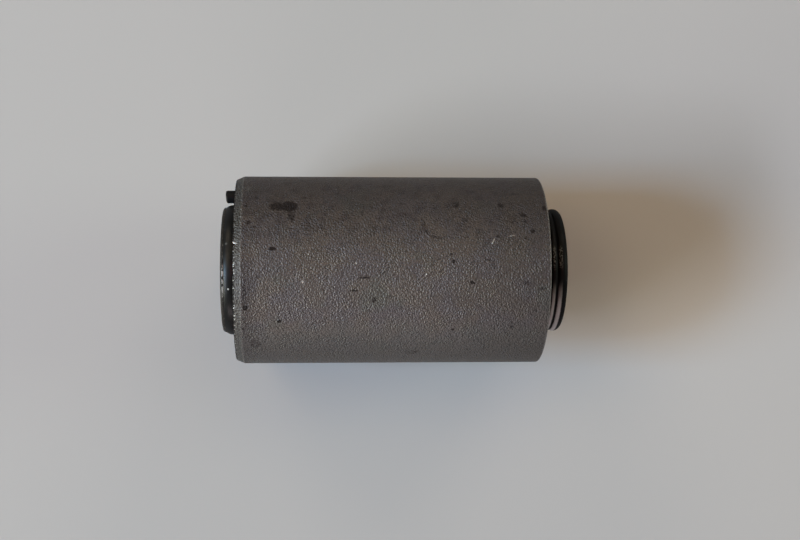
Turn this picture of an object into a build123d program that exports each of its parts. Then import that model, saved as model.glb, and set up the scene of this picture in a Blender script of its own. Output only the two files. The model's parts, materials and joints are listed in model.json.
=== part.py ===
"""Rubber metal bush: a steel sleeve and a steel tube, joined by one rubber moulding.

Millimetres. +Z runs along the bush's axis, and the origin is the centre of the tube's lower end,
which the bush stands on. The sleeve's lead-in is at the upper end, and the moulded nub beside the
upper collar stands towards +X.
"""
import os

from build123d import *

# ---- across the axis, from the bolt hole outwards
tube_bore_diameter = 16.2       # clears a 16 mm bolt
tube_wall = 4.4
rubber_wall = 5.0
sleeve_wall = 2.5

# ---- along the axis
sleeve_length = 64.4
tube_lower_reach = 4.8          # how far the tube stands out below the sleeve
tube_upper_reach = 2.9          # and above it

# ---- ends of the two tubes
lead_in_length = 1.6            # shallow cone that starts the sleeve into its eye
lead_in_depth = 0.7
sleeve_edge_radius = 0.3        # outer edge of the sleeve's lower end
sleeve_bore_chamfer = 0.5
tube_edge_chamfer = 0.3         # outer edge of the tube's lower end
tube_bore_chamfer = 0.8
lip_wall = 0.85                 # lip round the tube's upper end, outside the tube's own wall
lip_height = 0.65
lip_rounding = 0.55

# ---- ring faces of the rubber, between the collars and the sleeve
rubber_edge_inset = 1.0         # the rubber meets the sleeve this far inside each end
recess_depth = 1.5

# ---- bulged upper collar, which ends against the tube's lip
upper_collar_wall = 1.4         # rubber on the tube at the collar's widest ring
upper_collar_taper = 0.5        # the collar's side draws in by this much at both ends
upper_collar_shoulder = 0.15

# ---- ribbed lower collar, whose end rib is wide and slopes down to the end face
end_face_wall = 0.15            # rubber on the tube at the end face
end_rib_width = 2.05
end_rib_height = 0.5            # above the line from the end face to the first valley
rib_valley_wall = 0.35          # rubber on the tube at a valley
rib_height = 0.4                # valley to crest
rib_pitch = 1.46
lower_end_gap = 0.1             # the rubber stops short of the tube's end by this much

# ---- nub in the channel between the upper collar and the sleeve
nub_collar_gap = 0.35
nub_sleeve_gap = 0.5
nub_reach = 2.5                 # past the sleeve's upper end
nub_rounding = 0.5

# ---- radii and heights that follow from those sizes
tube_bore_radius = tube_bore_diameter / 2
tube_radius = tube_bore_radius + tube_wall
sleeve_bore_radius = tube_radius + rubber_wall
sleeve_radius = sleeve_bore_radius + sleeve_wall

sleeve_bottom = tube_lower_reach
sleeve_top = sleeve_bottom + sleeve_length
tube_length = sleeve_top + tube_upper_reach
lip_radius = tube_radius + lip_wall
lip_bottom = tube_length - lip_height


# Outer sleeve: its wall's section turned about the axis, with the lead-in as a sloped line.
with BuildPart() as outer_sleeve:
    with BuildSketch(Plane.XZ):
        with BuildLine():
            Polyline(
                (sleeve_bore_radius, sleeve_bottom),
                (sleeve_radius, sleeve_bottom),
                (sleeve_radius, sleeve_top - lead_in_length),
                (sleeve_radius - lead_in_depth, sleeve_top),
                (sleeve_bore_radius, sleeve_top),
                close=True,
            )
        make_face()
    revolve(axis=Axis.Z)
    rings = outer_sleeve.edges().filter_by(GeomType.CIRCLE).group_by(SortBy.RADIUS)
    bore_rings = rings[0]
    lower_outer_ring = rings[-1].sort_by(Axis.Z)[0]
    chamfer(bore_rings, sleeve_bore_chamfer)
    fillet(lower_outer_ring, sleeve_edge_radius)


# Inner tube: its wall's section turned about the axis, with a low lip round the upper end.
with BuildPart() as inner_tube:
    with BuildSketch(Plane.XZ):
        with BuildLine():
            Polyline(
                (tube_bore_radius, 0),
                (tube_radius, 0),
                (tube_radius, lip_bottom),
                (lip_radius, lip_bottom),
                (lip_radius, tube_length),
                (tube_bore_radius, tube_length),
                close=True,
            )
        make_face()
    revolve(axis=Axis.Z)
    rings = inner_tube.edges().filter_by(GeomType.CIRCLE)
    bore_rings = rings.group_by(SortBy.RADIUS)[0]
    lower_outer_ring = rings.group_by(Axis.Z)[0].sort_by(SortBy.RADIUS)[-1]
    lip_ring = rings.group_by(Axis.Z)[-1].sort_by(SortBy.RADIUS)[-1]
    chamfer(bore_rings, tube_bore_chamfer)
    chamfer(lower_outer_ring, tube_edge_chamfer)
    fillet(lip_ring, lip_rounding)


# Rubber: fills the ring between the two, with hollow ring faces and a collar at each end.
rubber_top = sleeve_top - rubber_edge_inset
rubber_bottom = sleeve_bottom + rubber_edge_inset

upper_collar_radius = tube_radius + upper_collar_wall
upper_collar_foot_radius = upper_collar_radius - upper_collar_taper
upper_collar_end = lip_bottom
upper_collar_middle = (rubber_top + upper_collar_end) / 2

end_face_radius = tube_radius + end_face_wall
rib_valley_radius = tube_radius + rib_valley_wall
rib_crest_radius = rib_valley_radius + rib_height
first_valley = lower_end_gap + end_rib_width
rib_count = int((rubber_bottom - first_valley) / rib_pitch)
last_valley = first_valley + rib_count * rib_pitch

nub_channel = rubber_wall - upper_collar_wall
nub_radius = (nub_channel - nub_collar_gap - nub_sleeve_gap) / 2
nub_centre = upper_collar_radius + nub_collar_gap + nub_radius

with BuildPart() as rubber:
    with BuildSketch(Plane.XZ):
        with BuildLine():
            # upper ring face, collar side and collar end
            ThreePointArc(
                (sleeve_bore_radius, rubber_top),
                ((sleeve_bore_radius + upper_collar_foot_radius) / 2, rubber_top - recess_depth),
                (upper_collar_foot_radius, rubber_top),
            )
            ThreePointArc(
                (upper_collar_foot_radius, rubber_top),
                (upper_collar_radius, upper_collar_middle),
                (upper_collar_foot_radius, upper_collar_end),
            )
            # down the tube to the lower end
            Polyline(
                (upper_collar_foot_radius, upper_collar_end),
                (tube_radius, upper_collar_end),
                (tube_radius, lower_end_gap),
                (end_face_radius, lower_end_gap),
            )
            # the end rib, then the others, each a shallow arc from valley to valley
            SagittaArc(
                (end_face_radius, lower_end_gap),
                (rib_valley_radius, first_valley),
                -end_rib_height,
            )
            for rib in range(rib_count):
                valley = first_valley + rib * rib_pitch
                ThreePointArc(
                    (rib_valley_radius, valley),
                    (rib_crest_radius, valley + rib_pitch / 2),
                    (rib_valley_radius, valley + rib_pitch),
                )
            # lower ring face and the wall along the sleeve's bore
            Line((rib_valley_radius, last_valley), (rib_valley_radius, rubber_bottom))
            ThreePointArc(
                (rib_valley_radius, rubber_bottom),
                ((sleeve_bore_radius + rib_valley_radius) / 2, rubber_bottom + recess_depth),
                (sleeve_bore_radius, rubber_bottom),
            )
            Line((sleeve_bore_radius, rubber_bottom), (sleeve_bore_radius, rubber_top))
        make_face()
    revolve(axis=Axis.Z)

    collar_end_rings = rubber.edges().filter_by(GeomType.CIRCLE).group_by(Axis.Z)[-1]
    fillet(collar_end_rings.sort_by(SortBy.RADIUS)[-1], upper_collar_shoulder)

    # the nub is raised from the middle of the rubber, so that its foot is always inside it
    nub_foot = (rubber_top + rubber_bottom) / 2
    with BuildSketch(Plane.XY.offset(nub_foot)):
        with Locations((nub_centre, 0)):
            Circle(nub_radius)
    extrude(amount=sleeve_top + nub_reach - nub_foot)
    nub_rim = rubber.edges(Select.LAST).sort_by(Axis.Z)[-1]
    fillet(nub_rim, nub_rounding)


outer_sleeve.part.label = "outer_sleeve"
inner_tube.part.label = "inner_tube"
rubber.part.label = "rubber"

os.makedirs("parts", exist_ok=True)
export_step(outer_sleeve.part, "parts/outer_sleeve.step")
export_step(inner_tube.part, "parts/inner_tube.step")
export_step(rubber.part, "parts/rubber.step")

print(f"sleeve {2 * sleeve_radius:.1f} x {sleeve_length:.1f} mm, overall length {tube_length:.1f} mm")
print(f"bolt hole {tube_bore_diameter:.1f} mm, nub {2 * nub_radius:.1f} mm, {rib_count + 1} ribs")
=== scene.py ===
# %% [markdown]
# # A rubber metal bush, dressed for its portrait
#
# A bush like this is pressed into the eye of a leaf spring. A bolt goes through the thick inner tube,
# and the rubber between the tube and the outer sleeve lets the spring twist without a squeak. It has
# three pieces, and none of them moves: a steel sleeve, one rubber moulding, and a steel tube.
#
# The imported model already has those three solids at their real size. This script leaves them where
# they are and builds a finer copy of each one round them, with the small wear and the finishes that a
# drawing of the part leaves out.

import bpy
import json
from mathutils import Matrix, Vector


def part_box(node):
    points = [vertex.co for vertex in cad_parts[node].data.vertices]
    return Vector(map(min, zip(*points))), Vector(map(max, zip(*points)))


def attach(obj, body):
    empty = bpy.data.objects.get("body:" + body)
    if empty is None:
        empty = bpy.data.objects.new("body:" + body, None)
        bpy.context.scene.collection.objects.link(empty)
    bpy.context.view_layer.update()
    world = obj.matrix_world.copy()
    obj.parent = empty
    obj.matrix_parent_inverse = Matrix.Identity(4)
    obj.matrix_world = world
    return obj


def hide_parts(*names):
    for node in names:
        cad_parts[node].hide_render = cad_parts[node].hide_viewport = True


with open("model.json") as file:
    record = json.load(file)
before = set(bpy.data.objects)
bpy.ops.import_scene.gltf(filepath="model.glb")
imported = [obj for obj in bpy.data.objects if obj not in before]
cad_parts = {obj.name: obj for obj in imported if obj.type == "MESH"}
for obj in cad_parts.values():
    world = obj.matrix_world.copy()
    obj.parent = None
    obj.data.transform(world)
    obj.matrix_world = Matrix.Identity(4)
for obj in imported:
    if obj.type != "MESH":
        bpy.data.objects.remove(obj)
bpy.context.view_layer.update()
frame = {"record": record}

# %% Tools used below
import json
import math

import bmesh
import bpy
from mathutils import Matrix, Vector, noise

MM = 0.001    # the scene is in metres, and the sizes below are in millimetres
print("one millimetre is", MM, "m")

# %% [markdown]
# ## Sizes that come from the solids
#
# Every size that a solid can tell is read from its box, and the bolt hole's radius from the record, so
# a change of the drawing reaches this script by itself. The rest are small features that a box can't
# show, such as a chamfer, and they repeat the drawing's own values.

# %% Read the sizes
sleeve_low, sleeve_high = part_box("outer_sleeve")
rubber_low, rubber_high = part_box("rubber")
tube_low, tube_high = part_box("inner_tube")
mounts = {mount["name"]: mount for mount in frame["record"]["mounts"]}

sleeve_radius = sleeve_high.x / MM
sleeve_bottom = sleeve_low.z / MM
sleeve_top = sleeve_high.z / MM
sleeve_bore = rubber_high.y / MM
lip_radius = tube_high.x / MM
tube_top = tube_high.z / MM
tube_bore = mounts["bolt_hole"]["dims"]["r_mm"]
nub_top = rubber_high.z / MM
rubber_foot = rubber_low.z / MM

print(f"sleeve r {sleeve_radius:.2f}, z {sleeve_bottom:.2f} to {sleeve_top:.2f}, bore r {sleeve_bore:.2f}")
print(f"tube bore r {tube_bore:.2f}, lip r {lip_radius:.2f}, length {tube_top:.2f}")

# %% [markdown]
# ## The camera
#
# The bush lies on a table and is seen from almost straight above. In this frame it stands on its
# ribbed end instead, because a round thing on its side would roll away. So the camera looks nearly
# level, along +Y, and is turned a quarter on its side: the picture's right is down the bush's axis, and
# the picture's top is the side with the little nub.

# %% Place the camera
camera_place = Vector((0.07, -278.8, 53.1)) * MM
camera_aim = Vector((-0.03, 0.0, 34.3)) * MM
focal_pixels = 1291
picture_width = 800
sensor_width = 36.0

forward = (camera_aim - camera_place).normalized()
picture_right = Vector((0, 0, -1))
picture_right = (picture_right - forward * picture_right.dot(forward)).normalized()
picture_up = picture_right.cross(forward)

camera = bpy.data.objects.new("camera", bpy.data.cameras.new("camera"))
bpy.context.collection.objects.link(camera)
turn = Matrix((picture_right, picture_up, -forward)).transposed()
camera.matrix_world = Matrix.Translation(camera_place) @ turn.to_4x4()
camera.data.sensor_width = sensor_width
camera.data.lens = focal_pixels / picture_width * sensor_width
camera.data.clip_start = 10 * MM
bpy.context.scene.camera = camera
bpy.context.scene.view_settings.view_transform = "Standard"
print(f"lens {camera.data.lens:.1f} mm")

# %% [markdown]
# ## Shader maths that reads like arithmetic
#
# A material is a graph of nodes, and placing it node by node hides the idea behind it. So one small
# class wraps a node's output. Adding or multiplying two of them adds the Math node that does it, and
# every other node comes from one method, `node`.

# %% A socket that does arithmetic
class Wire:
    """One output socket. Arithmetic on it adds Math nodes."""

    def __init__(self, finish, socket):
        self.finish = finish
        self.socket = socket

    def __add__(self, other):
        return self.finish.math("ADD", self, other)

    def __sub__(self, other):
        return self.finish.math("SUBTRACT", self, other)

    def __rsub__(self, other):
        return self.finish.math("SUBTRACT", other, self)

    def __mul__(self, other):
        return self.finish.math("MULTIPLY", self, other)

    def __abs__(self):
        return self.finish.math("ABSOLUTE", self)

    def stronger(self, other):
        """The larger of two values at each place."""
        return self.finish.math("MAXIMUM", self, other)

    __radd__ = __add__
    __rmul__ = __mul__


# %% A material and the one method that adds its nodes
class Finish:
    """A node tree with a method that adds any node, and a few shapes of value that recur."""

    def __init__(self, tree):
        self.tree = tree

    def node(self, kind, settings=None, values=None, out=0):
        """Adds a node: its settings first, then values or links for sockets named by identifier."""
        node = self.tree.nodes.new(kind)
        for name, value in (settings or {}).items():
            setattr(node, name, value)
        self.feed(node, values or {})
        if isinstance(out, str):
            out = [socket.identifier for socket in node.outputs].index(out)
        return Wire(self, node.outputs[out])

    def feed(self, node, values):
        sockets = {socket.identifier: socket for socket in node.inputs}
        for name, value in values.items():
            if isinstance(value, Wire):
                self.tree.links.new(value.socket, sockets[name])
            else:
                sockets[name].default_value = value

    def math(self, operation, *values):
        """A Math node on one value or two."""
        names = ("Value", "Value_001")
        return self.node("ShaderNodeMath", {"operation": operation}, dict(zip(names, values)))

    def blend(self, factor, first, second):
        """The first colour where factor is 0, and the second where it is 1."""
        sockets = {"Factor_Float": factor, "A_Color": first, "B_Color": second}
        return self.node("ShaderNodeMix", {"data_type": "RGBA"}, sockets, "Result_Color")

    def rise(self, value, start, end, low=0.0, high=1.0):
        """Goes smoothly from low at start to high at end, and stays there. Start may be above end."""
        sockets = {"Value": value, "From Min": start, "From Max": end, "To Min": low, "To Max": high}
        return self.node("ShaderNodeMapRange", {"interpolation_type": "SMOOTHSTEP"}, sockets)

    def speckle(self, place, size, detail=2.0, roughness=0.5, shift=0.0):
        """Noise with blobs of about that many millimetres: one size, or one for each axis."""
        sizes = size if isinstance(size, tuple) else (size, size, size)
        scale = [1 / side for side in sizes]
        sockets = {"Vector": place, "Location": (shift, shift, shift), "Scale": scale}
        spread = self.node("ShaderNodeMapping", {}, sockets)
        sockets = {"Vector": spread, "Scale": 1.0, "Detail": detail, "Roughness": roughness}
        return self.node("ShaderNodeTexNoise", {}, sockets)

    def millimetres(self):
        """The piece's own coordinates, in millimetres."""
        place = self.node("ShaderNodeTexCoord", out="Object")
        sockets = {"Vector": place, "Scale": 1 / MM}
        return self.node("ShaderNodeVectorMath", {"operation": "SCALE"}, sockets)

    def split(self, place):
        """The three coordinates of a place, as a value each."""
        parted = self.node("ShaderNodeSeparateXYZ", {}, {"Vector": place}).socket.node
        return [Wire(self, output) for output in parted.outputs]


def new_material(name):
    """A material, the Finish that builds it, and its Principled shader node."""
    material = bpy.data.materials.new(name)
    material.use_nodes = True
    return material, Finish(material.node_tree), material.node_tree.nodes["Principled BSDF"]


def colour(red, green, blue):
    """A linear colour with full cover, as a colour socket wants it."""
    return (red, green, blue, 1.0)


print("shader helpers ready")

# %% [markdown]
# ## Turned shapes
#
# All three pieces are round, as if cut on a lathe, so each is half a cross-section that is spun about
# the Z axis. The section is drawn with a pen, in millimetres from the axis and up it. A corner can be
# rounded, which a vertex bevel does, and an arc is the pen's own point spun about the arc's centre.
#
# A spun shape could also come from the Screw modifier. The operator is used because the wear comes
# next, and it moves single points of the finished mesh.

# %% A pen for cross-sections
class Outline:
    """Half of a turned shape's cross-section, in the X-Z plane."""

    def __init__(self, radius, height):
        self.bm = bmesh.new()
        self.start = self.pen = self.bm.verts.new((radius * MM, 0, height * MM))
        self.corners = []

    def line(self, radius, height, pieces=1):
        """A straight line to a new point, cut into equal pieces."""
        start = self.pen.co.copy()
        end = Vector((radius * MM, 0, height * MM))
        for piece in range(pieces):
            point = self.bm.verts.new(start.lerp(end, (piece + 1) / pieces))
            self.bm.edges.new((self.pen, point))
            self.pen = point
        return self

    def arc(self, radius, height, bulge, pieces=8):
        """An arc to a new point. It bulges to the left of the way there, or with minus to the right."""
        start = self.pen.co.copy()
        chord = Vector((radius * MM, 0, height * MM)) - start
        half = chord.length / 2
        left = Vector((-chord.z, 0, chord.x)).normalized()
        arc_radius = (half**2 + (bulge * MM) ** 2) / (2 * bulge * MM)
        centre = start + chord / 2 + left * (bulge * MM - arc_radius)
        spun = bmesh.ops.spin(
            self.bm, geom=[self.pen], cent=centre, axis=(0, 1, 0), dvec=(0, 0, 0),
            angle=4 * math.atan(bulge * MM / half), steps=pieces,
            use_merge=False, use_normal_flip=False, use_duplicate=False,
        )
        self.pen = [item for item in spun["geom_last"] if isinstance(item, bmesh.types.BMVert)][0]
        return self

    def rounded(self, radius, pieces=4):
        """Rounds the corner that the pen is at, once the section is closed."""
        self.corners.append((self.pen, radius, pieces))
        return self

    def turned(self, steps):
        """Closes the section, rounds its corners and spins it right round the Z axis."""
        self.bm.edges.new((self.pen, self.start))
        bmesh.ops.contextual_create(self.bm, geom=self.bm.edges[:])
        for corner, radius, pieces in self.corners:
            bmesh.ops.bevel(
                self.bm, geom=[corner], offset=radius * MM, affect="VERTICES",
                segments=pieces, profile=0.5, material=-1,
            )
        bmesh.ops.delete(self.bm, geom=self.bm.faces[:], context="FACES_ONLY")
        bmesh.ops.spin(
            self.bm, geom=self.bm.verts[:] + self.bm.edges[:], cent=(0, 0, 0), axis=(0, 0, 1),
            dvec=(0, 0, 0), angle=2 * math.pi, steps=steps,
            use_merge=True, use_normal_flip=False, use_duplicate=False,
        )
        bmesh.ops.remove_doubles(self.bm, verts=self.bm.verts[:], dist=0.001 * MM)
        bmesh.ops.recalc_face_normals(self.bm, faces=self.bm.faces[:])
        return self.bm


# %% From a finished bmesh to a piece of the bush
CRISP_ANGLE = math.radians(35)


def make_piece(bm, name, finish):
    """A smooth-shaded object with crisp edges where its faces meet at more than CRISP_ANGLE."""
    for face in bm.faces:
        face.smooth = True
    for edge in bm.edges:
        edge.smooth = edge.calc_face_angle(0.0) < CRISP_ANGLE
    mesh = bpy.data.meshes.new(name)
    bm.to_mesh(mesh)
    bm.free()
    mesh.materials.append(finish)
    piece = bpy.data.objects.new(name, mesh)
    bpy.context.collection.objects.link(piece)
    weighted = piece.modifiers.new("even shading", "WEIGHTED_NORMAL")
    weighted.keep_sharp = True
    triangles = sum(len(polygon.vertices) - 2 for polygon in mesh.polygons)
    print(f"{name}: {triangles} triangles, {len(finish.node_tree.nodes)} nodes in its finish")
    return piece


# %% [markdown]
# ## The sleeve's finish
#
# The sleeve is cut from tube, tumbled, and dipped in a phosphate bath that keeps rust off until it is
# pressed in. That leaves a dull grey-brown skin of fine grains. Each grain is a little longer round the
# sleeve than along it, because the tube was turned before it was dipped. On top of the grain come
# clouds of colour, dark smudges from oily fingers, and small bright knocks.
#
# The grain is a bump, because it is finer than a mesh can carry. It reads the piece's own coordinates
# stretched along Z, which works all round the sleeve with no seam.

# %% The sleeve's small features
lead_in_length = 1.6
lead_in_depth = 0.7
sleeve_edge_radius = 0.3
bore_chamfer = 0.5
rim_radius = sleeve_radius - lead_in_depth
lead_in_start = sleeve_top - lead_in_length
print(f"lead-in from z {lead_in_start:.2f} up, rim r {rim_radius:.2f}")


# %% [markdown]
# ## Marks that sit at one place
#
# Clouds and grain may fall anywhere, but a smudge or a scratch has a place of its own. Each one is a
# soft ellipse on the sleeve as if it were unrolled, made by one Mapping node, and all of them together
# are the strongest one at each place. Noise is added afterwards, so that no edge is clean.
#
# The renderer can hold only so much of one graph at a time. With some eighty marks it runs out of room
# and draws the sleeve black, without a word, so the lists stop near sixty.

# %% Marks that sit at one place on the sleeve
def unrolled(finish, place, radius):
    """Coordinates on the sleeve as if it were unrolled: millimetres round it, nothing, and up it."""
    x, y, z = finish.split(place)
    angle = finish.math("ARCTAN2", x, y * -1.0)
    return finish.node("ShaderNodeCombineXYZ", {}, {"X": angle * radius, "Z": z})


full_within = 0.5    # of a mark's half size
gone_beyond = 1.5


def mark(finish, flat, height, degrees, length, width, lean=0.0):
    """A patch that fades from 1 at its middle to 0. Degrees go round from the front towards +X."""
    sockets = {
        "Vector": flat,
        "Location": (math.radians(degrees) * sleeve_radius, 0, height),
        "Rotation": (0, math.radians(lean), 0),
        "Scale": (width / 2, 1, length / 2),
    }
    local = finish.node("ShaderNodeMapping", {"vector_type": "TEXTURE"}, sockets)
    away = finish.node("ShaderNodeVectorMath", {"operation": "LENGTH"}, {"Vector": local}, "Value")
    return finish.rise(away, gone_beyond, full_within)


def all_marks(finish, flat, marks):
    """The strongest of several marks at each place."""
    strongest = 0.0
    for strength, *shape in marks:
        patch = mark(finish, flat, *shape) * strength
        strongest = patch.stronger(strongest)
    return strongest


print(f"a mark is full out to {full_within} of its half size, and gone at {gone_beyond}")

# %% The marks on the sleeve
# Strength, height, degrees round, length along the sleeve, width round it, lean.
dark_marks = [
    (0.92, 60.2, 40.0, 3.7, 2.5),          # the long smudge near the lead-in, in two lobes
    (1.15, 57.9, 40.2, 3.4, 3.0),
    (0.68, 57.5, 33.0, 1.8, 3.4),          # and its tail
    (1.50, 61.2, 12.2, 1.3, 0.75),
    (0.55, 61.8, 23.0, 0.6, 1.5),
    (0.66, 66.7, 40.5, 0.9, 1.0),
    (0.66, 66.1, 28.5, 1.4, 1.3),
    (0.52, 64.8, 26.0, 2.0, 0.8),
    (0.62, 64.6, 47.5, 0.9, 0.9),
    (1.30, 66.7, -22.5, 1.0, 1.3),
    (0.62, 66.8, -14.0, 0.8, 7.0),
    (0.60, 67.2, -36.5, 0.7, 0.8),
    (1.05, 59.9, -31.2, 0.9, 0.8),
    (0.56, 64.9, -49.5, 2.8, 3.2),
    (0.58, 54.9, 47.5, 1.3, 0.9),
    (0.58, 43.1, 35.8, 1.0, 0.9),
    (0.55, 37.7, 60.7, 3.2, 1.8),
    (0.92, 42.9, -4.5, 2.4, 0.40),         # two short drags
    (0.90, 44.8, -12.1, 1.8, 0.40),
    (0.68, 40.8, -17.6, 1.2, 1.3, 40.0),
    (0.62, 30.8, 28.0, 1.1, 2.8, -12.0),   # a curl of oil
    (0.60, 29.9, 22.2, 0.8, 2.2, -40.0),
    (0.62, 28.1, 19.2, 3.8, 0.6, 14.0),
    (0.75, 23.8, 42.0, 1.6, 2.0),
    (0.80, 25.3, 9.0, 0.7, 0.6),
    (1.30, 24.8, 5.0, 0.6, 0.8),
    (0.90, 21.0, -7.3, 1.3, 0.7, 20.0),
    (0.62, 17.7, 5.8, 1.6, 0.5, 15.0),
    (0.60, 16.6, 2.3, 0.6, 2.0, -10.0),
    (1.30, 24.5, -37.6, 0.6, 0.6),
    (0.52, 32.5, -59.0, 3.2, 1.8, -15.0),
    (0.58, 11.5, 52.0, 1.6, 0.9, 20.0),
    (0.74, 14.6, 41.5, 1.6, 1.6, -20.0),
    (0.50, 12.4, 31.5, 2.4, 3.2),
    (0.72, 10.1, 34.0, 1.8, 1.2, 25.0),
    (0.60, 9.7, 29.8, 0.8, 1.6),
    (0.80, 8.4, 23.1, 1.1, 1.1, 25.0),
    (0.66, 9.9, 19.0, 0.8, 0.8),
    (0.66, 15.6, 19.8, 0.8, 0.9),
    (1.00, 5.6, 39.3, 0.9, 1.6),
    (0.52, 10.0, -7.5, 2.2, 1.2),
    (0.66, 6.8, -10.8, 2.2, 0.7, -15.0),
    (0.60, 7.8, -24.3, 0.9, 0.8),
    (0.48, 12.4, -34.5, 1.3, 2.4),
    (0.60, 45.0, 150.0, 3.0, 1.8),         # and a few on the side away from the camera
    (0.80, 22.0, 172.0, 1.4, 1.2),
    (0.90, 58.0, -128.0, 1.8, 1.0),
    (0.62, 35.0, -150.0, 4.0, 1.4, 30.0),
]
bright_marks = [
    (1.00, 68.8, 16.2, 1.1, 0.30, 25.0),   # the chip in the rim
    # a faint lighter patch just below the lead-in, on the +X side
    (0.30, 66.5, 57.3, 1.8, 3.0),
    (0.80, 55.2, -6.9, 0.50, 0.70),
    (0.55, 54.1, 8.9, 0.40, 0.40),
    (0.62, 44.5, 3.8, 0.40, 0.55),
    (0.58, 30.4, -2.6, 0.40, 0.55),
    (0.35, 64.3, 34.0, 0.8, 0.35),
    (0.58, 12.8, 20.3, 1.5, 0.26, -12.0),
    (0.72, 16.6, 17.0, 0.24, 1.5, 25.0),
    (0.40, 48.4, 56.6, 0.9, 0.30),
    (0.50, 27.0, 141.0, 1.2, 0.30, 40.0),
]
print(len(dark_marks), "dark marks and", len(bright_marks), "bright ones")


# %% [markdown]
# ## The skin, layer by layer
#
# The colour starts clean and each step blends one thing over it: the bath's own drifts of colour, then
# painted shade on the +X side, a darker strip below the lead-in, stains and a darkening towards the lower
# end, then the marks, then a darker lead-in with a painted shadow at its rim, and last the steel where the
# skin is rubbed off. What is bare is also shinier, so the same value steers the roughness.

# %% The skin's colours
brown_skin = colour(0.110, 0.095, 0.088)
purple_skin = colour(0.104, 0.093, 0.096)
green_skin = colour(0.097, 0.096, 0.089)
grey_skin = colour(0.096, 0.096, 0.093)
# The lead-in's darker tone, deepened towards +X as painted shade
lead_in_tone_and_shade = colour(0.036, 0.038, 0.036)
# Painted shadow at the rim, over the rim's own dark edge
painted_rim_shade = colour(0.006, 0.005, 0.005)
pit_floor = colour(0.030, 0.026, 0.024)
# The tone of the painted shade on the +X side, and of the darker strip below the lead-in
shade_and_strip_tone = colour(0.030, 0.026, 0.029)
oil_stain = colour(0.020, 0.015, 0.018)
oil_smudge = colour(0.011, 0.008, 0.008)
# The tone that the sleeve darkens to towards its lower end
lower_end_tone = colour(0.030, 0.026, 0.025)
dark_mottle = colour(0.026, 0.022, 0.022)
bare_steel = colour(0.36, 0.35, 0.34)
# The darkest of these is the painted shadow at the rim
print("the skin goes from", painted_rim_shade[:3], "to", brown_skin[:3], "and bare steel is", bare_steel[:3])


# %% The clean skin
def clean_skin(finish, place, tint, cloud):
    """Brown-grey that drifts to purple-grey and green-grey, and is greyer on the -X side."""
    x, y, z = finish.split(place)
    skin = finish.blend(finish.rise(tint, 0.42, 0.62), brown_skin, purple_skin)
    skin = finish.blend(finish.rise(cloud, 0.55, 0.70) * 0.7, skin, green_skin)
    greyer = finish.rise(x + (cloud - 0.5) * 10.0, -9.0, -15.0)
    return finish.blend(greyer * 0.7, skin, grey_skin)


# %% Stains, and painted shade
def stains_and_painted_shade(finish, skin, place, tint, cloud):
    """Painted shade on the +X side and the -X edge, a darker strip below the lead-in, stains on the +X
    side, a darkening towards the lower end and a fine dark mottle.
    """
    x, y, z = finish.split(place)
    # Painted shade: the +X side is darkened, most on the front half, and the -X edge a little
    painted_shade = finish.rise(x + (cloud - 0.5) * 8.0, -5.0, 19.0) * finish.rise(y, 12.0, 0.0, 0.30, 0.66)
    painted_shade = painted_shade.stronger(finish.rise(x, -11.0, -18.0) * 0.25)
    # A darker strip just below the lead-in
    lead_in_strip = finish.rise(z + (tint - 0.5) * 3.0, lead_in_start - 4.5, lead_in_start - 0.5)
    skin = finish.blend(painted_shade.stronger(lead_in_strip * 0.42), skin, shade_and_strip_tone)
    stain = finish.speckle(place, 2.2, detail=4.0, roughness=0.6, shift=41.0)
    stain = finish.rise(stain, 0.50, 0.66) * finish.rise(x + (tint - 0.5) * 8.0, 3.0, 11.0)
    skin = finish.blend(stain * 0.40, skin, oil_stain)
    # Darker towards the lower end
    towards_lower_end = finish.rise(z + (cloud - 0.5) * 8.0, sleeve_bottom + 28.0, sleeve_bottom)
    skin = finish.blend(towards_lower_end * 0.38, skin, lower_end_tone)
    mottle = finish.speckle(place, 0.4, detail=3.0, shift=83.0)
    return finish.blend(finish.rise(mottle, 0.62, 0.40) * 0.24, skin, dark_mottle)


# %% The lead-in and the edges
def dark_lead_in(finish, skin, place):
    """The lead-in is darkened, more towards +X as painted shade, and its rim is nearly black: its own dark
    edge under a painted shadow from the gap beside the collar.
    """
    x, y, z = finish.split(place)
    on_lead_in = finish.rise(z, lead_in_start - 0.05, lead_in_start + 0.1)
    # The lead-in is darkened, more towards +X as painted shade
    skin = finish.blend(on_lead_in * finish.rise(x, -2.0, 12.0, 0.38, 0.62), skin, lead_in_tone_and_shade)
    # Painted shadow: the rim is made nearly black, over its own dark edge
    rim_shade = finish.rise(z, sleeve_top - 0.42, sleeve_top - 0.20)
    return finish.blend(rim_shade * 0.92, skin, painted_rim_shade)


def rubbed_edges(finish, place, fine):
    """Bare steel in beads round the rim, and a little along the lower edge and the lead-in's corner."""
    x, y, z = finish.split(place)
    bead = finish.speckle(place, 0.5, detail=3.0, shift=3.0)
    rim = finish.rise(z, sleeve_top - 0.50, sleeve_top - 0.30)
    rim = rim * finish.rise(z, sleeve_top - 0.05, sleeve_top - 0.2)
    rim = rim * finish.rise(bead, 0.50, 0.61) * finish.rise(x, 6.0, 2.5, 0.16, 0.60)
    low_edge = finish.rise(z + (bead - 0.5) * 0.5, sleeve_bottom + 0.35, sleeve_bottom + 0.15)
    corner = finish.rise(abs(z - lead_in_start) + (fine - 0.5) * 0.3, 0.28, 0.08)
    return rim.stronger(low_edge * 0.35).stronger(corner * 0.10)


# %% The grain that can be felt
pebbles_per_mm = 2.3
grain_depth = 0.345


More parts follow.
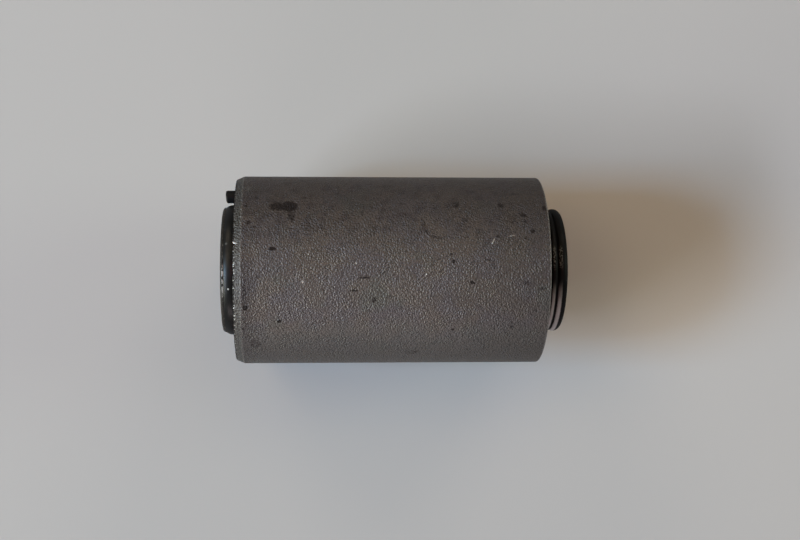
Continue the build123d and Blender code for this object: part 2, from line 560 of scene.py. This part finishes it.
def pebbled(finish, place, grain):
    """A bump of fine grains on slightly coarser pebbles, lower in patches and on the -X side."""
    x, y, z = finish.split(place)
    sockets = {"Vector": place, "Scale": pebbles_per_mm}
    cell = finish.node("ShaderNodeTexVoronoi", {}, sockets, "Distance")
    relief = (grain - 0.5) * 0.85 + finish.rise(cell, 0.5, 0.05) * 0.27
    relief = relief * finish.rise(x, -4.0, 10.0, 0.90, 1.20)
    patchy = finish.speckle(place, 3.5, detail=2.0, shift=67.0)
    patchy = finish.rise(patchy, 0.35, 0.65, 0.65, 1.15)
    sockets = {"Strength": 1.0, "Distance": grain_depth * MM, "Height": relief * patchy}
    return finish.node("ShaderNodeBump", {}, sockets)


# %% Phosphated steel
def phosphated_steel():
    material, finish, shader = new_material("phosphated steel")
    place = finish.millimetres()
    flat = unrolled(finish, place, sleeve_radius)
    grain = finish.speckle(place, (0.36, 0.36, 0.34), detail=0.0)
    fine = finish.speckle(place, (0.30, 0.30, 0.20), detail=1.0, shift=31.0)
    cloud = finish.speckle(place, 9.0, detail=3.0, shift=7.0)
    tint = finish.speckle(place, 6.0, detail=2.0, shift=53.0)
    ragged = finish.speckle(place, 0.42, detail=3.0, shift=19.0) - 0.5

    skin = clean_skin(finish, place, tint, cloud)
    skin = stains_and_painted_shade(finish, skin, place, tint, cloud)
    pits = finish.rise(grain + (fine - 0.5) * 0.5, 0.34, 0.22)
    skin = finish.blend(pits * 0.5, skin, pit_floor)
    smudge = finish.rise(all_marks(finish, flat, dark_marks) + ragged * 1.4, 0.28, 0.92)
    skin = finish.blend(smudge * 0.92, skin, oil_smudge)
    skin = dark_lead_in(finish, skin, place)
    knock = finish.rise(all_marks(finish, flat, bright_marks) + ragged * 0.5, 0.2, 0.9)
    bare = rubbed_edges(finish, place, fine).stronger(knock)
    finish.feed(shader, {
        "Base Color": finish.blend(bare, skin, bare_steel),
        "Metallic": finish.rise(bare, 0.0, 1.0, 0.85, 0.95),
        "Roughness": finish.rise(bare, 0.0, 1.0, 0.6, 0.42),
        "Normal": pebbled(finish, place, grain),
    })
    return material


# %% [markdown]
# ## The sleeve
#
# The sleeve is a plain tube with a lead-in: its upper end is turned down to a shallow cone, which lets
# the press start it into the eye straight. The section has extra points on that cone, so that the rim
# can be knocked about afterwards.

# %% Draw and turn the sleeve
sleeve_steps = 640
lead_in_rounding = 0.15
edge_strip = 1.0    # the long wall stops this short of both its ends, which keeps its shading even

outline = Outline(sleeve_bore, sleeve_bottom + bore_chamfer)
outline.line(sleeve_bore + bore_chamfer, sleeve_bottom)
outline.line(sleeve_radius, sleeve_bottom).rounded(sleeve_edge_radius, 5)
outline.line(sleeve_radius, sleeve_bottom + edge_strip)
outline.line(sleeve_radius, lead_in_start - edge_strip)
outline.line(sleeve_radius, lead_in_start, 5).rounded(lead_in_rounding, 2)
outline.line(sleeve_radius - lead_in_depth, sleeve_top, 8)
outline.line(sleeve_bore + bore_chamfer, sleeve_top, 8)
outline.line(sleeve_bore, sleeve_top - bore_chamfer)
sleeve_mesh = outline.turned(sleeve_steps)
print(len(sleeve_mesh.faces), "faces")


# %% Knock the rim about
def ring_distance(vert, radius, height):
    """How far a point is from a ring round the axis, in millimetres."""
    return math.hypot(vert.co.xy.length / MM - radius, vert.co.z / MM - height)


def inward(vert):
    """The way from a point straight to the axis."""
    return Vector((-vert.co.x, -vert.co.y, 0)).normalized()


def batter_rim(bm, radius, height, reach, depth):
    """Dents and small burrs along a ring, fading out within reach of it."""
    large_blow = 0.9 * MM
    small_blow = 0.35 * MM
    for vert in bm.verts:
        fade = 1 - ring_distance(vert, radius, height) / reach
        if fade > 0:
            blow = noise.noise(vert.co / large_blow) + 0.5 * noise.noise(vert.co / small_blow)
            vert.co += inward(vert) * (blow * depth * fade * MM)
            vert.co.z -= abs(blow) * depth * fade * MM


def push_in(bm, centre, reach, depth):
    """A dent: points within reach of the centre move towards the axis, by up to depth."""
    for vert in bm.verts:
        apart = (vert.co - centre).length / (reach * MM)
        if apart < 1:
            vert.co += inward(vert) * (depth * MM * (1 - apart**2) ** 2)


def on_sleeve(height, degrees, radius):
    """A place at that height and radius, so many degrees from the front towards +X."""
    angle = math.radians(degrees)
    return Vector((radius * math.sin(angle), -radius * math.cos(angle), height)) * MM


chip = on_sleeve(height=sleeve_top - 0.5, degrees=15.4, radius=rim_radius + 0.2)
batter_rim(sleeve_mesh, rim_radius, sleeve_top, reach=0.6, depth=0.10)
push_in(sleeve_mesh, chip, reach=0.8, depth=0.22)
print("a chip in the rim at", tuple(round(side / MM, 1) for side in chip))

# %% Dress the sleeve
sleeve = make_piece(sleeve_mesh, "steel_sleeve", phosphated_steel())
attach(sleeve, "root")
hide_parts("outer_sleeve")

# %% [markdown]
# ## The rubber's finish
#
# Moulded rubber takes the polish of its mould, so it is nearly black under a thin gloss. The gloss is a
# coat, because its weight can vary: the plain collar keeps it, and the ribbed one, which grips better dry,
# has lost most of it. Handling leaves a bloom and a few specks of grit. Along one side of the ribs a grey
# band is painted in as a highlight, with a few painted glints further round.

# %% Where the tube and the first valley between two ribs are
lip_wall = 0.85
lip_height = 0.65
end_rib_width = 2.05
tube_radius = lip_radius - lip_wall
first_valley = rubber_foot + end_rib_width
print(f"tube r {tube_radius:.2f} under the rubber, first valley at z {first_valley:.2f}")


# %% The rubber's colours and the specks on it
clean_rubber = colour(0.003, 0.003, 0.003)
bloomed_rubber = colour(0.007, 0.007, 0.008)
pale_grit = colour(0.40, 0.40, 0.39)
# The grey of the painted highlight on the ribs
rib_highlight_grey = colour(0.46, 0.47, 0.48)
rubber_specks = [                          # given as a mark on the sleeve is
    (1.00, 70.4, -16.6, 0.34, 0.50),
    (0.16, 70.85, 23.0, 0.45, 0.70),
]
print(len(rubber_specks), "specks on the collar")


# %% Where the ribs get a painted highlight
def painted_rib_highlights(finish, place, smear, pores):
    """A painted highlight: a grey band along each of the two lowest ribs, on the -X side, and broken
    painted glints further round.
    """
    x, y, z = finish.split(place)
    uneven = (pores - 0.5) * 0.15
    end_band = finish.rise(abs(z - (first_valley - 0.6)) + uneven, 0.50, 0.25)
    next_band = finish.rise(abs(z - (first_valley + 0.75)) + uneven, 0.42, 0.20)
    glint = finish.rise(abs(x - 2.6), 3.0, 1.2) * finish.rise(pores, 0.46, 0.60) * 0.3
    along = glint.stronger(finish.rise(x + (smear - 0.5) * 3.0, -1.5, -8.5))
    return end_band.stronger(next_band) * along


# %% Black rubber
def black_rubber():
    material, finish, shader = new_material("black rubber")
    place = finish.millimetres()
    x, y, z = finish.split(place)
    smear = finish.speckle(place, 3.0, detail=3.0)
    pores = finish.speckle(place, 0.35, detail=2.0, shift=11.0)
    skin = finish.blend(finish.rise(smear, 0.35, 0.7), clean_rubber, bloomed_rubber)
    grit = finish.node("ShaderNodeTexVoronoi", {}, {"Vector": place, "Scale": 0.35}, "Distance")
    grit = finish.rise(grit, 0.10, 0.06) * 0.6
    specks = all_marks(finish, unrolled(finish, place, sleeve_radius), rubber_specks)
    skin = finish.blend(grit.stronger(specks), skin, pale_grit)
    # Painted highlight: grey bands and glints on the ribs, blended into the colour
    rib_highlight = painted_rib_highlights(finish, place, smear, pores)
    gloss = finish.rise(abs(x), 4.0, 12.0, 1.0, 0.45)
    gloss = gloss * finish.rise(z, sleeve_bottom, sleeve_top, 0.09, 0.33)
    sockets = {"Strength": 0.5, "Distance": 0.02 * MM, "Height": pores + smear}
    bump = finish.node("ShaderNodeBump", {}, sockets)
    finish.feed(shader, {
        "Base Color": finish.blend(rib_highlight * 0.9, skin, rib_highlight_grey),
        "Roughness": finish.rise(smear, 0.3, 0.7, 0.5, 0.6),
        "Coat Weight": gloss,
        "Normal": bump,
        "Specular IOR Level": 0.02,
        "Coat Roughness": 0.33,
    })
    return material


# %% [markdown]
# ## The rubber
#
# One moulding fills the space between the two steels. Its two ring faces are hollowed, so that the
# rubber has somewhere to go when it is squeezed. At the upper end it rises along the tube as a plain
# bulged collar, and at the lower end as a collar of three rounded ribs, which seal against the bracket.

# %% Draw and turn the rubber
edge_inset = 1.0
recess_depth = 1.5
upper_collar_wall = 1.4
upper_collar_taper = 0.5
upper_collar_shoulder = 0.15
end_face_wall = 0.15
end_rib_height = 0.5
rib_valley_wall = 0.35
rib_height = 0.4
rib_pitch = 1.46
rubber_steps = 320

rubber_top = sleeve_top - edge_inset
rubber_bottom = sleeve_bottom + edge_inset
collar_end = tube_top - lip_height
collar_foot_radius = tube_radius + upper_collar_wall - upper_collar_taper
rib_valley = tube_radius + rib_valley_wall
rib_count = int((rubber_bottom - first_valley) / rib_pitch)

outline = Outline(tube_radius, rubber_foot)
outline.line(tube_radius + end_face_wall, rubber_foot)
outline.arc(rib_valley, first_valley, -end_rib_height, 16)
for rib in range(rib_count):
    outline.arc(rib_valley, first_valley + (rib + 1) * rib_pitch, -rib_height, 12)
outline.line(rib_valley, rubber_bottom, 2)
outline.arc(sleeve_bore, rubber_bottom, recess_depth, 10)
outline.line(sleeve_bore, rubber_top)
outline.arc(collar_foot_radius, rubber_top, recess_depth, 10)
outline.arc(collar_foot_radius, collar_end, -upper_collar_taper, 16).rounded(upper_collar_shoulder, 3)
outline.line(tube_radius, collar_end)
rubber_mesh = outline.turned(rubber_steps)
print(len(rubber_mesh.faces), "faces,", rib_count + 1, "ribs")

# %% [markdown]
# ## The nub
#
# The nub is what is left of the hole that the rubber was injected through. It was snipped off, so its
# end isn't quite square. It stands in the channel between the collar and the sleeve, on the +X side.
#
# It is a capped cylinder. The rim is bevelled, the snipped side is sheared down, and a union joins it to
# the moulding, so that the two are one skin with no faces hidden inside.

# %% Shape the nub
nub_collar_gap = 0.35
nub_sleeve_gap = 0.5
nub_rounding = 0.4
nub_snip = 0.15
nub_inside = sleeve_bore - nub_sleeve_gap
nub_outside = tube_radius + upper_collar_wall + nub_collar_gap
nub_radius = (nub_inside - nub_outside) / 2
nub_centre = (nub_inside + nub_outside) / 2
nub_foot = rubber_top - 6
snip_start = nub_centre + 0.2

nub_mesh = bmesh.new()
bmesh.ops.create_cone(
    nub_mesh, cap_ends=True, segments=48,
    radius1=nub_radius * MM, radius2=nub_radius * MM, depth=(nub_top - nub_foot) * MM,
)
nub_middle = Vector((nub_centre, 0, (nub_top + nub_foot) / 2)) * MM
bmesh.ops.translate(nub_mesh, vec=nub_middle, verts=nub_mesh.verts[:])
top_edges = [edge for edge in nub_mesh.edges if min(vert.co.z for vert in edge.verts) > nub_middle.z]
bmesh.ops.bevel(
    nub_mesh, geom=top_edges, offset=nub_rounding * MM, affect="EDGES",
    segments=5, profile=0.5, material=-1,
)
for vert in nub_mesh.verts:
    if vert.co.z > rubber_top * MM:
        inner_side = max(0, snip_start * MM - vert.co.x) / (nub_radius * MM)
        vert.co.z -= nub_snip * MM * min(1, inner_side)
print(f"nub r {nub_radius:.2f} at x {nub_centre:.2f}")


# %% Join the nub to the moulding
def union(first, second):
    """One closed skin round two shapes that overlap."""
    holders = []
    for shape in (first, second):
        mesh = bpy.data.meshes.new("shape")
        shape.to_mesh(mesh)
        shape.free()
        holders.append(bpy.data.objects.new("shape", mesh))
        bpy.context.collection.objects.link(holders[-1])
    fuse = holders[0].modifiers.new("fuse", "BOOLEAN")
    fuse.operation = "UNION"
    fuse.solver = "EXACT"
    fuse.object = holders[1]
    fused = holders[0].evaluated_get(bpy.context.evaluated_depsgraph_get())
    joined = bmesh.new()
    joined.from_mesh(fused.to_mesh())
    fused.to_mesh_clear()
    for holder in holders:
        bpy.data.meshes.remove(holder.data)
    return joined


rubber_mesh = union(rubber_mesh, nub_mesh)
open_edges = sum(1 for edge in rubber_mesh.edges if not edge.is_manifold)
print(len(rubber_mesh.faces), "faces after the union,", open_edges, "open edges")

rubber = make_piece(rubber_mesh, "rubber_moulding", black_rubber())
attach(rubber, "root")
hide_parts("rubber")

# %% [markdown]
# ## The inner tube
#
# The tube takes the bolt's whole clamping force, so its wall is thick and its ends are square. A low
# rounded lip goes round the upper end, and the collar stops against it. The lower edge is broken, and
# the mouths of the bore are opened to guide the bolt in.

# %% The tube's finish
dark_tube = colour(0.012, 0.011, 0.010)
pale_tube = colour(0.032, 0.029, 0.027)
bright_tube = colour(0.44, 0.42, 0.40)
print("the tube's skin goes from", dark_tube[:3], "to", pale_tube[:3])


def worn_lip(finish, place, flake):
    """Bright chips along the lip's lower edge, most of them where it has been scuffed."""
    x, y, z = finish.split(place)
    up_the_lip = z - (tube_top - lip_height)
    low_edge = finish.rise(up_the_lip, 0.34, 0.20) * finish.rise(up_the_lip, -0.05, 0.0)
    scuffed = finish.rise(abs(x + 1.8), 5.5, 1.5)
    chips = finish.rise(flake + scuffed * 0.12, 0.58, 0.66)
    return low_edge * chips * (scuffed * 0.85 + 0.15)


def tube_steel():
    material, finish, shader = new_material("tube steel")
    place = finish.millimetres()
    grain = finish.speckle(place, (0.5, 0.5, 0.3), detail=2.0)
    flake = finish.speckle(place, 0.7, detail=3.0, shift=5.0)
    skin = finish.blend(finish.rise(grain, 0.35, 0.7), dark_tube, pale_tube)
    bare = finish.rise(flake, 0.70, 0.78).stronger(worn_lip(finish, place, flake))
    sockets = {"Strength": 1.0, "Distance": 0.03 * MM, "Height": grain}
    bump = finish.node("ShaderNodeBump", {}, sockets)
    finish.feed(shader, {
        "Base Color": finish.blend(bare * 0.8, skin, bright_tube),
        "Metallic": finish.rise(bare, 0.0, 1.0, 0.6, 0.95),
        "Roughness": finish.rise(bare, 0.0, 1.0, 0.6, 0.4),
        "Normal": bump,
        "Specular IOR Level": 0.2,
    })
    return material


# %% Draw and turn the tube
tube_edge_chamfer = 0.3
tube_bore_chamfer = 0.8
lip_rounding = 0.55
tube_steps = 320

outline = Outline(tube_bore, tube_bore_chamfer)
outline.line(tube_bore + tube_bore_chamfer, 0)
outline.line(tube_radius - tube_edge_chamfer, 0, 6)
outline.line(tube_radius, tube_edge_chamfer)
outline.line(tube_radius, collar_end, 4)
outline.line(lip_radius, collar_end)
outline.line(lip_radius, tube_top).rounded(lip_rounding, 8)
outline.line(tube_bore + tube_bore_chamfer, tube_top, 6)
outline.line(tube_bore, tube_top - tube_bore_chamfer)
tube = make_piece(outline.turned(tube_steps), "steel_tube", tube_steel())
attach(tube, "root")
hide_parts("inner_tube")

# %% [markdown]
# ## The table
#
# The bush lies on a pale table, so the floor of this scene touches the sleeve's back and faces -Y. It
# has only one side: seen from behind it is clear, so that it never stands between a camera and the
# bush. It also casts no shadow, and a lamp behind it can light the sleeve's back.

# %% Lay the table
def pale_table():
    material, finish, shader = new_material("pale table")
    place = finish.millimetres()
    cloud = finish.speckle(place, 60.0, detail=2.0)
    top = finish.blend(cloud, colour(0.468, 0.461, 0.462), colour(0.478, 0.469, 0.470))
    finish.feed(shader, {"Base Color": top, "Roughness": 0.7, "Specular IOR Level": 0.2})
    front = Wire(finish, shader.outputs["BSDF"])
    clear = finish.node("ShaderNodeBsdfTransparent")
    from_behind = finish.node("ShaderNodeNewGeometry", out="Backfacing")
    sockets = {"Fac": from_behind, "Shader": front, "Shader_001": clear}
    one_sided = finish.node("ShaderNodeMixShader", {}, sockets)
    finish.feed(material.node_tree.nodes["Material Output"], {"Surface": one_sided})
    return material


table_half = 1500 * MM
bm = bmesh.new()
bmesh.ops.create_grid(bm, x_segments=1, y_segments=1, size=table_half)
stand_up = Matrix.Rotation(math.radians(90), 3, "X")
bmesh.ops.transform(bm, matrix=stand_up.to_4x4(), verts=bm.verts[:])
bmesh.ops.translate(bm, vec=(0, sleeve_radius * MM, 0), verts=bm.verts[:])
table_mesh = bpy.data.meshes.new("table")
bm.to_mesh(table_mesh)
bm.free()
table_mesh.materials.append(pale_table())
table = bpy.data.objects.new("table", table_mesh)
bpy.context.collection.objects.link(table)
table.visible_shadow = False
print("the table faces", tuple(round(value, 2) for value in table_mesh.polygons[0].normal))

# %% [markdown]
# ## Light
#
# Each lamp is a plain rectangle four metres away. The daylight comes in from the picture's left: the
# window itself, cool and about a third of the way up, a neutral strip beside it, and a long low strip
# of light from under it. That is why the shadow lies to the right and is sharp along the bush. The rest
# are the room's own walls and ceiling, which are dim and warm, so the shadow is brown inside. One more
# lamp hangs behind the table, for views of the bush's back.

# %% Hang the lamps
lamp_distance = 4.0
table_normal = Vector((0, -1, 0))


def lamp(name, direction, elevation, across, tall, watts, tint):
    """A rectangular lamp that faces the bush. All four places are in degrees: the direction goes round
    the picture from its right, the elevation is above the table, and across and tall are the angles
    that the lamp fills, as seen from the bush."""
    round_picture, above_table = math.radians(direction), math.radians(elevation)
    away = Vector((
        math.sin(round_picture) * math.cos(above_table),
        -math.sin(above_table),
        -math.cos(round_picture) * math.cos(above_table),
    ))
    sideways = table_normal.cross(away).normalized()
    middle = Vector((0, 0, (sleeve_bottom + sleeve_top) / 2 * MM))
    light = bpy.data.lights.new(name, "AREA")
    light.shape = "RECTANGLE"
    light.size = 2 * lamp_distance * math.tan(math.radians(across) / 2)
    light.size_y = 2 * lamp_distance * math.tan(math.radians(tall) / 2)
    light.energy = watts
    light.color = tint
    holder = bpy.data.objects.new(name, light)
    turn = Matrix((sideways, away.cross(sideways), away)).transposed()
    holder.matrix_world = Matrix.Translation(middle + away * lamp_distance) @ turn.to_4x4()
    holder.visible_camera = False
    bpy.context.collection.objects.link(holder)
    print(f"{name}: {light.size:.1f} by {light.size_y:.1f} m, {watts} W")
    return holder


lamp("window", direction=182.5, elevation=34, across=14, tall=12, watts=106, tint=(0.44, 0.72, 1.0))
lamp("window, side", direction=200, elevation=31, across=21, tall=6, watts=67, tint=(0.86, 0.91, 1.0))
lamp("window, low", direction=196.5, elevation=6, across=28, tall=9, watts=166, tint=(0.98, 1.0, 0.8))
lamp("room, left", direction=150, elevation=50, across=24, tall=24, watts=29, tint=(1.0, 0.77, 0.47))
lamp("room, above", direction=90, elevation=50, across=24, tall=24, watts=11, tint=(1.0, 0.82, 0.28))
lamp("room, right", direction=45, elevation=50, across=54, tall=24, watts=11, tint=(1.0, 0.77, 0.83))
lamp("far wall", direction=10, elevation=20, across=24, tall=20, watts=33, tint=(0.81, 1.0, 0.75))
lamp("left wall", direction=120, elevation=20, across=24, tall=20, watts=30, tint=(1.0, 0.84, 0.64))
lamp("right wall", direction=60, elevation=20, across=24, tall=20, watts=30, tint=(1.0, 0.84, 0.64))
lamp("near wall", direction=262, elevation=9, across=40, tall=10, watts=59, tint=(1.0, 0.84, 0.82))
lamp("ceiling", direction=90, elevation=89, across=16, tall=16, watts=9, tint=(1.0, 0.2, 0.1))
lamp("behind", direction=90, elevation=-84, across=70, tall=60, watts=120, tint=(1.0, 0.97, 0.94))

# %% [markdown]
# ## The air round it
#
# The world is pale where the camera or a reflection looks at it, so that steel and rubber have
# something to mirror. For everything else it is almost dark, and the lamps do the lighting.

# %% The air round the bush
world = bpy.data.worlds.new("air")
bpy.context.scene.world = world
world.use_nodes = True
air = Finish(world.node_tree)
background = world.node_tree.nodes["Background"]
seen = air.node("ShaderNodeLightPath", out="Is Camera Ray")
mirrored = air.node("ShaderNodeLightPath", out="Is Glossy Ray")
pale = seen.stronger(mirrored * 0.9)
dim_air = colour(0.003, 0.003, 0.003)
pale_air = colour(0.455, 0.455, 0.46)
air.feed(background, {"Color": air.blend(pale, dim_air, pale_air)})
print("the air is", pale_air[:3], "to the eye and", dim_air[:3], "as light")
